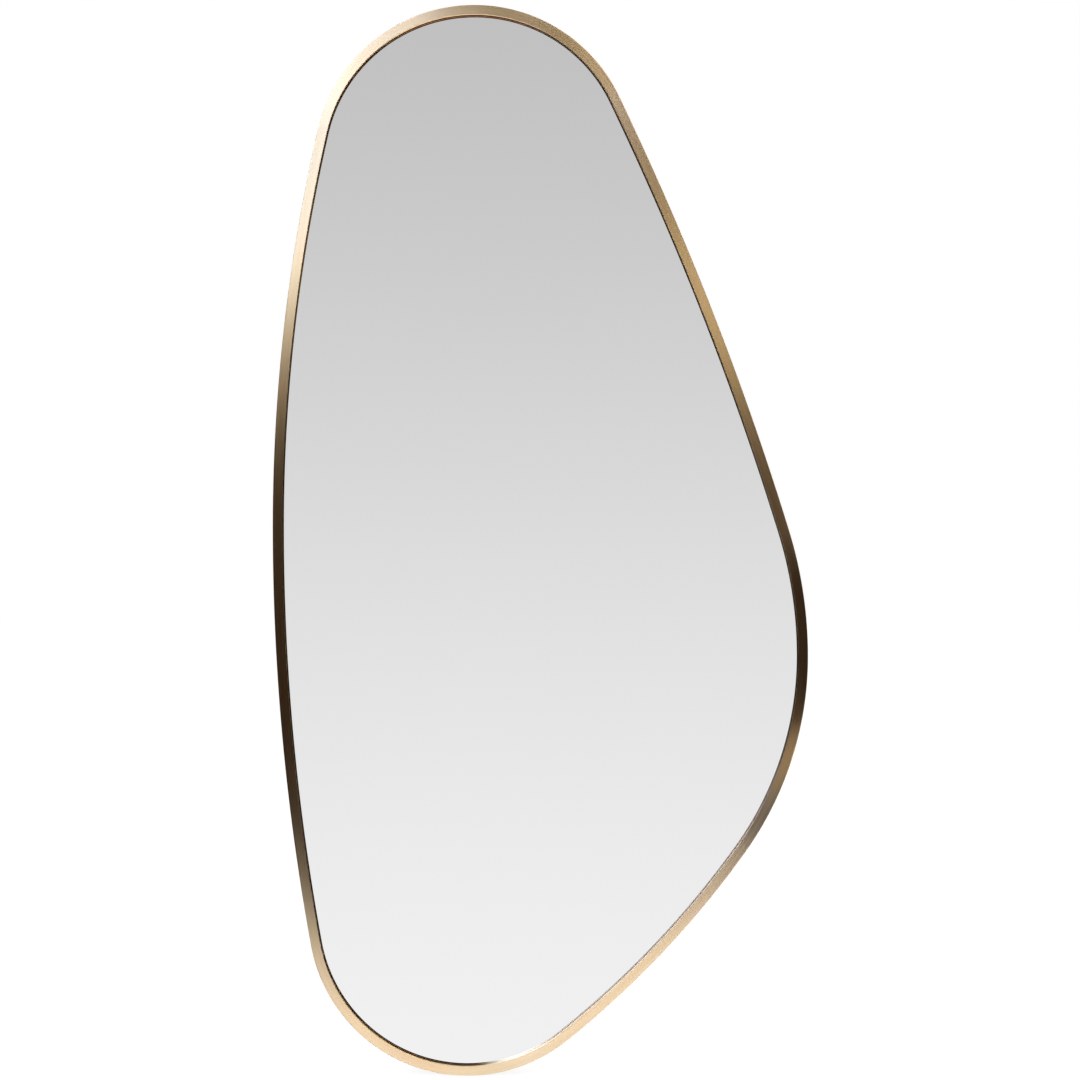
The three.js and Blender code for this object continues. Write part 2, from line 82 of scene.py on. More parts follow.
# screws, with a cross recess that narrows to a share of its size
SHANK_RADIUS, SHANK_ROOM, SCREW_TIP, TIP_RADIUS = 1.75, 0.3, 2.4, 0.35
HEAD_RADIUS, HEAD_RIM, HEAD_RIM_ROUNDING = 3.5, 0.9, 0.25
HEAD_HEIGHT, HEAD_CROWN_RADIUS = 2.1, 2.3
SHOULDER_RADIUS, SHOULDER_HEIGHT = 3.1, 1.55
RECESS_ARM, RECESS_HALF, RECESS_DEPTH, RECESS_TAPER = 1.75, 0.42, 1.15, 0.62
BOARD_BITE = 6.4
HOLE_RADIUS = SHANK_RADIUS + SHANK_ROOM

# retaining clips
CLIP_COUNT = 10
CLIP_WIDTH, CLIP_LENGTH = 22.0, 34.0
CLIP_TIP_ROOM, CLIP_SCREW_FROM_TIP, CLIP_CORNER_CUT = 0.5, 20.0, 2.0

# hangers
HANGER_X = {"left": -140.64, "right": 79.36}
PIVOT_Y, PIVOT_Z = 8.2, 300.0
STRAP_WIDTH, STRAP_THICKNESS, STRAP_LENGTH = 14.0, 1.2, 38.0
STRAP_ROLL_ANGLE = 300.0
STRAP_SCREW_DROPS = {"upper": 10.0, "lower": 30.0}
WIRE_RADIUS, RING_HALF, RING_LEG, RING_CORNER, RING_BUTT = 1.5, 14.5, 4.0, 3.0, 0.3

# wall bumpers
BUMPER_BASE_RADIUS, BUMPER_FACE_RADIUS = 9.0, 7.5
BUMPER_FLOOR, BUMPER_HEAD_ROOM = 3.0, 0.5
BUMPER_PLACES = {
    "upper_left": (-218.33, 430.0), "upper_right": (81.93, 430.0),
    "lower_left": (-223.66, -430.0), "lower_right": (126.68, -430.0),
}

# how finely the round parts are made: segments of a full circle, or steps of a bend
SCREW_SEGMENTS, HOLE_SEGMENTS, WIRE_SEGMENTS, BUMPER_SEGMENTS = 40, 24, 20, 56
CLIP_END_STEPS, STRAP_END_STEPS, STRAP_ROLL_STEPS = 28, 24, 40
RING_CORNER_STEPS, RING_BOW_STEPS = 10, 44
SHARP_ON_SHEET, SHARP_ON_WIRE = 50.0, 60.0  # an edge with a larger angle than this is rounded

# degrees that the screws' recesses are turned: of the first one, and more for every next one
CLIP_SCREW_TURN = 37.0
HANGER_SCREW_TURN, NEXT_HANGER_SCREW_TURN, RIGHT_HANGER_TURN = 23.0, 31.0, 17.0
BUMPER_SCREW_TURN, NEXT_BUMPER_SCREW_TURN = 15.0, 49.0

QUARTER_TURN_X = Matrix.Rotation(math.pi / 2, 4, "X")
QUARTER_TURN_Y = Matrix.Rotation(math.pi / 2, 4, "Y")


# ---------------------------------------------------------------- outline

class Arc:
    """One stretch of the outline, clockwise: its circle, the angle where it starts, how far it
    sweeps, and how much of the outline lies before it."""

    def __init__(self, x, z, radius):
        self.x, self.z, self.radius = x, z, radius
        self.start = self.sweep = self.before = 0.0

    def bearing(self, x, z):
        """The angle of a place, from +Z towards +X."""
        return math.atan2(x - self.x, z - self.z)

    def point(self, angle, inset=0.0):
        """A place on the arc, or inside it."""
        reach = self.radius - inset
        return self.x + reach * math.sin(angle), self.z + reach * math.cos(angle)

    @property
    def steps(self):
        """How many straight steps keep within the chord error."""
        return math.ceil(self.sweep / (2 * math.acos(1 - CHORD_ERROR / self.radius)))


def side_arc(first, second, radius):
    """A large circle that two smaller ones touch from inside, on the right of the way down."""
    way_x, way_z = second.x - first.x, second.z - first.z
    apart = math.hypot(way_x, way_z)
    from_first, from_second = radius - first.radius, radius - second.radius
    ahead = (from_first ** 2 - from_second ** 2 + apart ** 2) / (2 * apart)
    aside = math.sqrt(from_first ** 2 - ahead ** 2)
    way_x, way_z = way_x / apart, way_z / apart
    return Arc(first.x + way_x * ahead + way_z * aside,
               first.z + way_z * ahead - way_x * aside, radius)


def left_arc(end, reach_x, reach_z):
    """The circle that touches the furthest left line and goes round an end curve."""
    aside, up = reach_x - end.x, reach_z - end.z
    radius = (end.radius ** 2 - aside ** 2 - up ** 2) / (2 * (aside + end.radius))
    return Arc(reach_x + radius, reach_z, radius)


def touch(one, other):
    """Where two circles touch, one inside the other."""
    large, small = (one, other) if one.radius > other.radius else (other, one)
    apart = math.hypot(small.x - large.x, small.z - large.z)
    return (large.x + (small.x - large.x) / apart * large.radius,
            large.z + (small.z - large.z) / apart * large.radius)


def outline_arcs():
    """The outline's arcs, clockwise from the highest point."""
    left, right, top, bottom = -WIDTH / 2, WIDTH / 2, HEIGHT / 2, -HEIGHT / 2
    top_end = Arc(left + TOP_SETBACK + TOP_RADIUS, top - TOP_RADIUS, TOP_RADIUS)
    bottom_end = Arc(
        left + BOTTOM_SETBACK + BOTTOM_RADIUS, bottom + BOTTOM_RADIUS, BOTTOM_RADIUS)
    right_upper = Arc(right - RIGHT_UPPER_RADIUS, RIGHT_REACH_Z, RIGHT_UPPER_RADIUS)
    right_lower = Arc(right - RIGHT_LOWER_RADIUS, RIGHT_REACH_Z, RIGHT_LOWER_RADIUS)
    upper_side = side_arc(top_end, right_upper, UPPER_SIDE_RADIUS)
    lower_side = side_arc(right_lower, bottom_end, LOWER_SIDE_RADIUS)
    left_lower = left_arc(bottom_end, left, LEFT_REACH_Z)
    left_upper = left_arc(top_end, left, LEFT_REACH_Z)
    chain = [
        (top_end, touch(top_end, upper_side)),
        (upper_side, touch(upper_side, right_upper)),
        (right_upper, (right, RIGHT_REACH_Z)),
        (right_lower, touch(right_lower, lower_side)),
        (lower_side, touch(lower_side, bottom_end)),
        (bottom_end, (bottom_end.x, bottom)),
        (bottom_end, touch(bottom_end, left_lower)),
        (left_lower, (left, LEFT_REACH_Z)),
        (left_upper, touch(left_upper, top_end)),
        (top_end, (top_end.x, top)),
    ]
    arcs, place, before = [], (top_end.x, top), 0.0
    for circle, end in chain:
        arc = Arc(circle.x, circle.z, circle.radius)
        arc.start = arc.bearing(*place)
        arc.sweep = (arc.bearing(*end) - arc.start) % (2 * math.pi)
        arc.before = before
        before += arc.radius * arc.sweep
        place = end
        arcs.append(arc)
    return arcs, before


ARCS, PERIMETER = outline_arcs()


def along(distance):
    """The arc and the angle on it, so far along the outline from the highest point."""
    distance %= PERIMETER
    for arc in ARCS:
        if distance <= arc.before + arc.radius * arc.sweep:
            break
    return arc, arc.start + (distance - arc.before) / arc.radius


# ---------------------------------------------------------------- making meshes

def near(value, target, room=1e-3):
    """Whether two numbers are the same but for a little room."""
    return abs(value - target) < room


def loop_of(bm, points):
    """A closed loop of edges through a few corners."""
    corners = [bm.verts.new(p) for p in points]
    return [bm.edges.new((a, b)) for a, b in zip(corners, corners[1:] + corners[:1])]


def rounded_section(bm, corners):
    """A closed section whose corners are each rounded by their own radius, as edges only."""
    verts = [bm.verts.new(place) for place, _ in corners]
    face = bm.faces.new(verts)
    for vert, (_, (radius, segments)) in zip(verts, corners):
        if radius:
            bmesh.ops.bevel(bm, geom=[vert], offset=radius, offset_type="OFFSET",
                            segments=segments, profile=0.5, affect="VERTICES", material=-1)
    bmesh.ops.delete(bm, geom=list(bm.faces), context="FACES_ONLY")
    return list(bm.edges)


def spin(bm, geom, centre, axis, angle, steps):
    """Spins edges or faces round an axis and gives what stands at the end."""
    made = bmesh.ops.spin(bm, geom=geom, cent=centre, axis=axis, dvec=(0, 0, 0),
                          angle=angle, steps=steps, use_duplicate=False)
    return made["geom_last"]


def rim_geom(edges):
    """Edges with their corners, as the operators want them."""
    return list({v for e in edges for v in e.verts}) + list(edges)


def only_edges(geom):
    """The edges in what an operator gives."""
    return [e for e in geom if isinstance(e, bmesh.types.BMEdge)]


def drawn(bm, edges, way):
    """Draws a loop of edges out along a straight line and gives the loop at its end."""
    made = bmesh.ops.extrude_edge_only(bm, edges=edges)["geom"]
    moved = {v for v in made if isinstance(v, bmesh.types.BMVert)}
    bmesh.ops.translate(bm, verts=list(moved), vec=way)
    return [e for e in only_edges(made) if set(e.verts) <= moved]


def run_round(bm, geom, on_stretch=None):
    """Takes a section or a point clockwise round the whole outline and closes the ring."""
    for arc in ARCS:
        known = set(bm.verts)
        geom = spin(bm, geom, (arc.x, 0, arc.z), (0, 1, 0), arc.sweep, arc.steps)
        if on_stretch:
            on_stretch(arc, [v for v in bm.verts if v not in known])
    bmesh.ops.remove_doubles(bm, verts=list(bm.verts), dist=RING_CLOSING)


def fill(bm, edges):
    """Fills a flat outline with triangles, round its holes."""
    bmesh.ops.triangle_fill(bm, edges=edges, use_beauty=True, use_dissolve=False)


def lathe(bm, geom, steps):
    """Turns a profile once round the Y axis."""
    bmesh.ops.spin(bm, geom=geom, cent=(0, 0, 0), axis=(0, 1, 0), dvec=(0, 0, 0),
                   angle=2 * math.pi, steps=steps, use_merge=True, use_duplicate=False)
    bmesh.ops.remove_doubles(bm, verts=list(bm.verts), dist=MERGE_WITHIN)


def thicken(bm, depth):
    """Gives flat faces that lie in X and Z a thickness towards +Y."""
    made = bmesh.ops.extrude_face_region(bm, geom=list(bm.faces))["geom"]
    moved = [v for v in made if isinstance(v, bmesh.types.BMVert)]
    bmesh.ops.translate(bm, verts=moved, vec=(0, depth, 0))


def soften(bm, radius, angle=30.0, segments=2):
    """Rounds every edge that is sharper than an angle."""
    bmesh.ops.recalc_face_normals(bm, faces=list(bm.faces))
    sharp = [e for e in bm.edges
             if e.is_manifold and e.calc_face_angle(0) > math.radians(angle)]
    bmesh.ops.bevel(bm, geom=sharp, offset=radius, offset_type="OFFSET", segments=segments,
                    profile=0.5, affect="EDGES", clamp_overlap=True, material=-1)


def plate(corners, width, length, drops, thickness, end_steps):
    """Sheet that lies on the board: from its top corners down to a round end, with its holes."""
    half = width / 2
    end = half - length
    bm = bmesh.new()
    verts = [bm.verts.new((x, 0, z)) for x, z in corners + [(-half, end)]]
    for pair in zip(verts, verts[1:]):
        bm.edges.new(pair)
    spin(bm, [verts[-1]], (0, 0, end), (0, 1, 0), -math.pi, end_steps)
    last = max((v for v in bm.verts if len(v.link_edges) == 1 and v is not verts[0]),
               key=lambda v: v.co.x)
    bm.edges.new((last, verts[0]))
    for drop in drops:
        bmesh.ops.create_circle(bm, segments=HOLE_SEGMENTS, radius=HOLE_RADIUS,
                                matrix=Matrix.Translation((0, 0, -drop)) @ QUARTER_TURN_X)
    fill(bm, list(bm.edges))
    thicken(bm, thickness)
    bmesh.ops.translate(bm, verts=list(bm.verts), vec=(0, ON_BOARD_Y, 0))
    return bm


def placed(bm, matrix):
    """A copy of a shape, moved to its place."""
    copy = bm.copy()
    copy.transform(matrix)
    return copy


def finish(bm, name, body, replaces, materials, sharp_angle=35.0):
    """Makes a shape a piece: metres, outward faces, materials, its body and its CAD node."""
    bmesh.ops.remove_doubles(bm, verts=list(bm.verts), dist=MERGE_WITHIN)
    bmesh.ops.recalc_face_normals(bm, faces=list(bm.faces))
    bmesh.ops.scale(bm, vec=(MM, MM, MM), verts=list(bm.verts))
    for face in bm.faces:
        face.smooth = True
    mesh = bpy.data.meshes.new(name)
    bm.to_mesh(mesh)
    bm.free()
    mesh.set_sharp_from_angle(angle=math.radians(sharp_angle))
    for material in materials:
        mesh.materials.append(material)
    piece = bpy.data.objects.new(name, mesh)
    bpy.context.scene.collection.objects.link(piece)
    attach(piece, body)
    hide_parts(*replaces)


# ---------------------------------------------------------------- shader graphs

class Wire:
    """An output socket that takes plain arithmetic."""

    def __init__(self, graph, socket):
        self.graph, self.socket = graph, socket

    def math(self, operation, *values):
        """A Math node on these values."""
        return self.graph.add("Math", {"operation": operation}, dict(enumerate(values)))

    def __add__(self, other):
        return self.math("ADD", self, other)

    def __sub__(self, other):
        return self.math("SUBTRACT", self, other)

    def __rsub__(self, other):
        return self.math("SUBTRACT", other, self)

    def __mul__(self, other):
        return self.math("MULTIPLY", self, other)

    __radd__, __rmul__ = __add__, __mul__

    def most(self, other):
        """The larger of this and another."""
        return self.math("MAXIMUM", self, other)

    def absolute(self):
        """This without its sign."""
        return self.math("ABSOLUTE", self)

    def step(self, low, high, bottom=0.0, top=1.0):
        """Goes smoothly from bottom to top while this goes from low to high."""
        return self.graph.add(
            "MapRange", {"interpolation_type": "SMOOTHSTEP"},
            {"Value": self, "From Min": low, "From Max": high, "To Min": bottom, "To Max": top})


class Graph:
    """The nodes of one material or of the world."""

    def __init__(self, tree):
        self.tree = tree
        tree.nodes.clear()

    def add(self, kind, settings=None, inputs=None, output=0):
        """Adds a node: its settings first, then the values and wires of its sockets."""
        node = self.tree.nodes.new("ShaderNode" + kind)
        for key, value in (settings or {}).items():
            setattr(node, key, value)
        for key, value in (inputs or {}).items():
            if isinstance(value, Wire):
                self.tree.links.new(value.socket, node.inputs[key])
            else:
                node.inputs[key].default_value = value
        return Wire(self, node.outputs[output]) if node.outputs else None

    def noise(self, vector, scale, detail=3.0, roughness=0.5):
        """Cloudy noise, about 0.5 on average."""
        return self.add("TexNoise", {"noise_dimensions": "3D"},
                        {"Vector": vector, "Scale": scale, "Detail": detail,
                         "Roughness": roughness})

    def stretched(self, vector, scale):
        """A place, scaled by its own factor each way."""
        return self.add("VectorMath", {"operation": "MULTIPLY"}, {0: vector, 1: scale})

    def place(self):
        """The place on the piece, in metres."""
        return self.add("TexCoord", output="Object")

    def dot(self, first, second):
        """How far one direction goes along another."""
        return self.add("VectorMath", {"operation": "DOT_PRODUCT"}, {0: first, 1: second},
                        output="Value")

    def parts(self, vector):
        """The three numbers of a vector."""
        node = self.add("SeparateXYZ", None, {0: vector}).socket.node
        return [Wire(self, socket) for socket in node.outputs]

    def blend(self, factor, first, second):
        """A colour between two, by a factor."""
        return self.add("Mix", {"data_type": "RGBA"}, {0: factor, 6: first, 7: second}, output=2)

    def bump(self, height, depth, strength):
        """Relief from a height, its depth in millimetres."""
        return self.add("Bump", None,
                        {"Height": height, "Distance": depth * MM, "Strength": strength})

    def rays(self, *names):
        """Of what kind a ray is."""
        return [self.add("LightPath", output=name) for name in names]

    def principled(self, colour, roughness, normal, constants=None):
        """A surface: what changes over it, and what is the same all over it."""
        return self.add("BsdfPrincipled", None, {
            "Base Color": colour, "Roughness": roughness, "Normal": normal, **(constants or {})})

    def close(self, surface, kind="OutputMaterial"):
        """Ends the graph with its output."""
        self.add(kind, None, {"Surface": surface})


def material(name):
    """A new material and its graph."""
    made = bpy.data.materials.new(name)
    made.use_nodes = True
    return made, Graph(made.node_tree)


# The brushing follows the frame round. Each of these is a direction across it, in degrees from
# the right-hand side towards the top, for which the metal has its own stretched shine, and the
# places between two of them show a little of both.
BRUSHED_WAYS = (-18, -9, 0, 9, 20, 35, 55, 75, 95, 115, 135, 150, 162)
BRASS_DARK, BRASS_PALE = (0.865, 0.592, 0.338, 1), (0.935, 0.648, 0.382, 1)
BRASS_CLOUD, CLOUD_SHARE = (0.89, 0.645, 0.345, 1), 0.35
BRASS_ROUGHNESS = 0.29
# the inner wall's dark colour and its darker reflection tint are painted shade
INNER_WALL_PAINTED_SHADE, INNER_WALL_SHADE_TINT = (0.085, 0.052, 0.024, 1), (0.45, 0.30, 0.18, 1)
LIT_WALL_SIDE = (0.643, 0.0, -0.766)  # the lower right, where the inner wall keeps its brass colour as painted light
METALLIC = {"Metallic": 1.0}


def brushed_brass():
    """Brass brushed along the frame: fine lines that follow it and a shine stretched across it."""
    made, g = material("brushed_brass")
    run = g.add("UVMap", {"uv_map": "run"})
    line = g.noise(g.stretched(run, (12.0, 380.0, 1.0)), 1.0, 0.3)
    band = g.noise(g.stretched(run, (6.0, 230.0, 1.0)), 1.0, 0.5)
    cloud = g.noise(g.place(), 16.0, 2.0)
    shade = (line - 0.5) * 2.2 + (band - 0.5) * 1.4 + 0.5
    colour = g.blend(shade.step(0.1, 0.9), BRASS_DARK, BRASS_PALE)
    colour = g.blend(cloud.step(0.35, 0.65) * CLOUD_SHARE, colour, BRASS_CLOUD)
    outward = g.add("Attribute", {"attribute_name": "outward"}, output="Vector")
    normal = g.add("NewGeometry", output="Normal")
    inward = g.dot(outward, normal) * -1
    # painted shade: the inner wall is coloured dark brown all round, except towards the lower
    # right, which is left bright as painted light
    lit_wall = g.dot(outward, LIT_WALL_SIDE).step(0.80, 0.93)
    colour = g.blend(inward.step(0.87, 0.985) * (1 - lit_wall), colour, INNER_WALL_PAINTED_SHADE)
    skin = (colour, BRASS_ROUGHNESS + (line - 0.5) * 0.03, g.bump(line, 0.01, 0.2))

    x, _, z = g.parts(outward)
    across = z.math("ARCTAN2", z, x) * (180 / math.pi) - BRUSHED_WAYS[0]
    across = across.math("FLOORED_MODULO", across, 180.0) + BRUSHED_WAYS[0]
    shine = None
    for before, way in zip((None,) + BRUSHED_WAYS, BRUSHED_WAYS):
        lobe = g.principled(*skin, {**METALLIC, "Anisotropic": 1.0,
                                    "Anisotropic Rotation": way % 360 / 360})
        shine = lobe if before is None else g.add(
            "MixShader", None, {0: across.step(before, way), 1: shine, 2: lobe})
    # the shaded wall's reflection is tinted dark as painted shade; on the lower right the plain
    # brass reflection shows instead, as painted light
    shaded_wall = g.principled(*skin, {**METALLIC, "Specular Tint": INNER_WALL_SHADE_TINT})
    wall = g.add("MixShader", None,
                 {0: lit_wall, 1: shaded_wall, 2: g.principled(*skin, METALLIC)})
    facing = g.parts(normal)[1].absolute()
    g.close(g.add("MixShader", None, {0: facing.step(0.3, 0.6), 1: wall, 2: shine}))
    return made


def silvered_glass():
    """Clear float glass silvered on its back: a sharp reflection, very slightly uneven."""
    made, g = material("silvered_glass")
    swell = g.noise(g.place(), 2.2, 1.0)
    tone = g.noise(g.place(), 5.0, 2.0)
    colour = g.blend(tone, (0.862, 0.864, 0.862, 1), (0.872, 0.873, 0.872, 1))
    g.close(g.principled(colour, 0.0, g.bump(swell, 0.01, 0.3), METALLIC))
    return made


def ground_glass():
    """The glass's ground edge: pale green, matt, with fine lines from the wheel."""
    made, g = material("ground_glass_edge")
    lines = g.noise(g.stretched(g.place(), (60.0, 3000.0, 60.0)), 1.0, 2.0)
    colour = g.blend(lines, (0.36, 0.48, 0.43, 1), (0.50, 0.62, 0.57, 1))
    g.close(g.principled(colour, 0.45 + (lines - 0.5) * 0.2, g.bump(lines, 0.03, 0.4)))
    return made


def backing_paint():
    """The grey paint over the silver, on the back of the glass."""
    made, g = material("mirror_backing_paint")
    grain = g.noise(g.place(), 900.0, 3.0)
    colour = g.blend(grain, (0.20, 0.21, 0.22, 1), (0.27, 0.28, 0.29, 1))
    g.close(g.principled(colour, 0.55 + (grain - 0.5) * 0.2, g.bump(grain, 0.02, 0.4)))
    return made


def fibreboard():
    """Medium density board: pressed fibres on its faces, a darker, rougher sawn edge."""
    made, g = material("fibreboard")
    place = g.place()
    fibres = g.noise(g.stretched(place, (1.0, 1.0, 0.45)), 1500.0, 5.0, 0.65)
    specks = g.noise(place, 1300.0, 2.0)
    cloud = g.noise(place, 7.0, 4.0, 0.6)
    colour = g.blend(fibres.step(0.3, 0.7), (0.215, 0.135, 0.075, 1), (0.42, 0.30, 0.19, 1))
    colour = g.blend(specks.step(0.58, 0.72) * 0.35, colour, (0.16, 0.10, 0.055, 1))
    colour = g.blend(cloud.step(0.3, 0.8) * 0.35, colour, (0.36, 0.24, 0.14, 1))
    facing = g.parts(g.add("NewGeometry", output="Normal"))[1].absolute()
    sawn = 1 - facing.step(0.4, 0.8)
    colour = g.blend(sawn * 0.6, colour, (0.17, 0.10, 0.05, 1))
    g.close(g.principled(colour, 0.78 + (fibres - 0.5) * 0.2,
                         g.bump(fibres + specks * 0.5, 0.12, 0.7), {"Specular IOR Level": 0.3}))
    return made


def foam_tape():
    """White foam tape: fine closed cells."""
    made, g = material("foam_tape")
    cells = g.add("TexVoronoi", {"feature": "F1"}, {"Vector": g.place(), "Scale": 2200.0})
    colour = g.blend(cells.step(0.1, 0.6), (0.83, 0.82, 0.77, 1), (0.68, 0.67, 0.62, 1))
    g.close(g.principled(colour, 0.85 + cells * 0.1, g.bump(1 - cells, 0.1, 0.6)))
    return made


def rubber(name, dark, pale, roughness):
    """Moulded rubber: a dull, finely pebbled skin with dust in its low places."""
    made, g = material(name)
    place = g.place()
    pebble = g.noise(place, 2600.0, 3.0, 0.6)
    dust = g.noise(place, 160.0, 4.0, 0.65)
    colour = g.blend(pebble.step(0.3, 0.75), dark, pale)
    colour = g.blend(dust.step(0.52, 0.75) * 0.25, colour, (0.16, 0.155, 0.15, 1))
    g.close(g.principled(colour, roughness + (dust - 0.5) * 0.25,
                         g.bump(pebble, 0.08, 0.6), {"Specular IOR Level": 0.4}))
    return made


def zinc_steel():
    """Zinc plated sheet and wire: faint blue and straw spangle, rolling lines, small scuffs."""
    made, g = material("zinc_steel")
    place = g.place()
    spangle = g.add("TexVoronoi", {"feature": "F1"}, {"Vector": place, "Scale": 420.0},
                    output="Color")
    patch = g.parts(spangle)[0]
    rolled = g.noise(g.stretched(place, (900.0, 900.0, 60.0)), 1.0, 3.0)
    scuff = g.noise(place, 90.0, 5.0, 0.7)
    colour = g.blend(patch, (0.60, 0.62, 0.66, 1), (0.74, 0.745, 0.74, 1))
    scuffed = scuff.step(0.5, 0.8)
    colour = g.blend(scuffed * 0.4, colour, (0.66, 0.63, 0.56, 1))
    roughness = 0.30 + patch * 0.08 + (rolled - 0.5) * 0.14 + scuffed * 0.14
    g.close(g.principled(colour, roughness, g.bump(rolled + scuff * 0.5, 0.03, 0.5), METALLIC))
    return made


def screw_steel():
    """Bright plated screws, with turning marks and wear from the driver."""
    made, g = material("screw_steel")
    place = g.place()
    turned = g.noise(g.stretched(place, (1.0, 9.0, 1.0)), 500.0, 3.0)
    wear = g.noise(place, 330.0, 4.0, 0.7)
    colour = g.blend(wear.step(0.35, 0.75), (0.66, 0.665, 0.67, 1), (0.50, 0.49, 0.47, 1))
    roughness = 0.24 + wear * 0.2 + (turned - 0.5) * 0.1
    g.close(g.principled(colour, roughness, g.bump(turned, 0.02, 0.5), METALLIC))
    return made


BRASS = brushed_brass()
MIRROR, EDGE, PAINT = silvered_glass(), ground_glass(), backing_paint()
BOARD, FOAM = fibreboard(), foam_tape()
PACKER = rubber("packer_rubber", (0.030, 0.030, 0.031, 1), (0.055, 0.055, 0.056, 1), 0.62)
FOOT = rubber("bumper_rubber", (0.012, 0.012, 0.013, 1), (0.030, 0.030, 0.031, 1), 0.55)
ZINC, SCREW = zinc_steel(), screw_steel()


# ---------------------------------------------------------------- frame

def frame_ring():
    """The brass section run round the outline, with a map of how far along and across it is."""
    slot_front = ON_BOARD_Y - CLIP_SLOT_ROOM
    slot_back = ON_BOARD_Y + CLIP_THICKNESS + CLIP_SLOT_ROOM
    top_end = ARCS[0]
    edge, small = (OUTER_EDGE_RADIUS, 6), (SMALL_EDGE_RADIUS, 2)
    lip = FACE_WIDTH - METAL
    plain, held = (0.0, 1), 0.15  # a corner close to a rounding keeps the flat beside it flat
    lip_back = FRONT_Y + GLASS_RECESS
    corners = [  # inset, depth, and the radius and segments of the rounding
        (0.0, FRAME_BACK_Y, small), (0.0, FRAME_BACK_Y - SMALL_EDGE_RADIUS - held, plain),
        (0.0, FRONT_Y + OUTER_EDGE_RADIUS + held, plain), (0.0, FRONT_Y, edge),
        (OUTER_EDGE_RADIUS + held, FRONT_Y, plain),
        (FACE_WIDTH - INNER_EDGE_RADIUS - held, FRONT_Y, plain),
        (FACE_WIDTH, FRONT_Y, (INNER_EDGE_RADIUS, 10)),
        (FACE_WIDTH, FRONT_Y + INNER_EDGE_RADIUS + held, plain),
        (FACE_WIDTH, lip_back - SMALL_EDGE_RADIUS - held, plain),
        (FACE_WIDTH, lip_back, small), (lip, lip_back, small),
        (lip, FRONT_Y + METAL, small), (METAL, FRONT_Y + METAL, small),
    ]
    for rib_front, rib_back in ((slot_front - RIB_THICKNESS, slot_front),
                                (slot_back, slot_back + RIB_THICKNESS)):
        corners += [(METAL, rib_front, small), (RIB_INSET, rib_front, small),
                    (RIB_INSET, rib_back, small), (METAL, rib_back, small)]
    corners.append((METAL, FRAME_BACK_Y, small))

    bm = bmesh.new()
    edges = rounded_section(
        bm, [((top_end.x, y, HEIGHT / 2 - inset), rounding) for inset, y, rounding in corners])
    run = bm.verts.layers.float.new("run")
    across = bm.verts.layers.float.new("across")
    outward = bm.verts.layers.float_vector.new("outward")
    bm.verts.ensure_lookup_table()
    first = bm.verts[0]
    vert, edge_in, distance = first, None, 0.0
    while True:  # how far round the section each of its corners is
        vert[outward] = (0.0, 0.0, 1.0)
        vert[across] = distance
        edge_in = next(e for e in vert.link_edges if e is not edge_in)
        distance += edge_in.calc_length()
        vert = edge_in.other_vert(vert)
        if vert is first:
            break
    girth = distance

    def mark(arc, verts):
        """Notes how far along the outline new corners are, and which way is outward there."""
        for v in verts:
            bearing = arc.bearing(v.co.x, v.co.z)
            v[run] = arc.before + arc.radius * ((bearing - arc.start) % (2 * math.pi))
            v[outward] = (math.sin(bearing), 0.0, math.cos(bearing))

    run_round(bm, list(bm.verts) + edges, mark)
    uv = bm.loops.layers.uv.new("run")
    for face in bm.faces:
        runs = [loop.vert[run] for loop in face.loops]
        rounds = [loop.vert[across] for loop in face.loops]
        for loop, u, v in zip(face.loops, runs, rounds):
            u += PERIMETER if max(runs) - u > PERIMETER / 2 else 0
            v += girth if max(rounds) - v > girth / 2 else 0
            loop[uv].uv = (u * MM, v * MM)
    finish(bm, "brass_frame", "mirror", ["frame_profile"], [BRASS])


# ---------------------------------------------------------------- glass

def glass_pane():
    """The pane with its ground edge; the reflecting face, the edge and the painted back."""
    bm = bmesh.new()
    start = bm.verts.new((ARCS[0].x, GLASS_FRONT_Y, HEIGHT / 2 - GLASS_INSET))
    run_round(bm, [start])
    fill(bm, list(bm.edges))
    thicken(bm, GLASS_BACK_Y - GLASS_FRONT_Y)
    soften(bm, GLASS_ARRIS)
    bmesh.ops.recalc_face_normals(bm, faces=list(bm.faces))
    flat = 0.99
    for face in bm.faces:
        facing = face.normal.y
        face.material_index = 0 if facing < -flat else 2 if facing > flat else 1
    finish(bm, "glass_pane", "mirror", ["mirror_glass"],
           [MIRROR, EDGE, PAINT], sharp_angle=10.0)


# ---------------------------------------------------------------- screws

def on_head_rim(edge):
    """Whether an edge goes round the widest part of a screw's head."""
    one, other = edge.verts
    return near(one.co.y, other.co.y) and all(
        near(math.hypot(v.co.x, v.co.z), HEAD_RADIUS) for v in (one, other))


def in_recess(face):
    """Whether a face of a screw's crown lies in the cross."""
    place = face.calc_center_median()
    short, long = sorted((abs(place.x), abs(place.z)))
    return near(place.y, HEAD_HEIGHT, 0.01) and short < RECESS_HALF and long < RECESS_ARM


